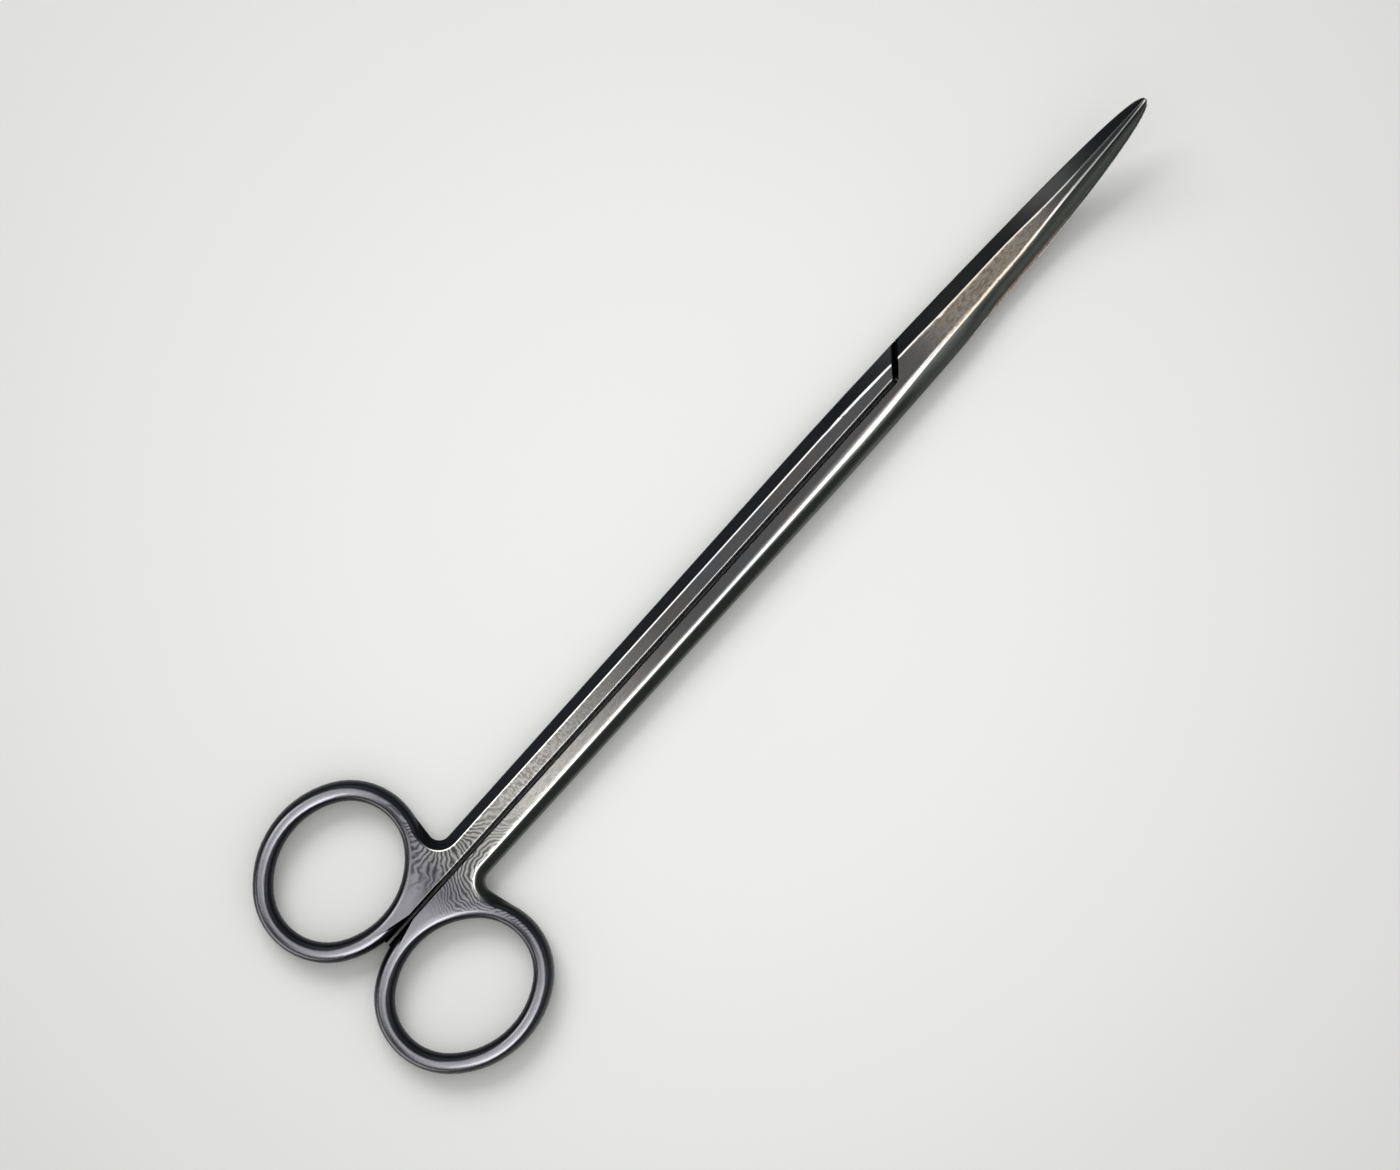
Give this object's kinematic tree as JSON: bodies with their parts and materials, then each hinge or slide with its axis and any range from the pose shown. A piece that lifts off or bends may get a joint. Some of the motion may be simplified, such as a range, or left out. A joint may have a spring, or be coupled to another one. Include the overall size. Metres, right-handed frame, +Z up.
{
  "type": "dissecting scissors",
  "caption": "Slender steel dissecting scissors with blunt upward-curved blades, long bevelled shanks and oval finger rings on a flush pivot screw.",
  "frame": {"origin": "under the middle of the closed scissors, at the level of their underside", "axes": "+X from the finger rings to the blade tips, +Z up through the joint, along the pivot and towards the side the tips curve to, +Y to the side of the lower half's ring"},
  "size_m": [0.18, 0.05, 0.0106],
  "materials": {
    "upper_half": "ground and polished",
    "lower_half": "ground and polished",
    "pivot_screw": "turned and polished"
  },
  "bodies": {
    "lower": {"lower_half": "lower_half"},
    "upper": {"upper_half": "upper_half", "pivot_screw": "pivot_screw"}
  },
  "joints": [
    {"name": "pivot", "type": "hinge", "parent": "lower", "child": "upper", "pos_m": [0.042, 0, 0], "axis": [0, 0, 1], "range_deg": [0, 60]}
  ]
}
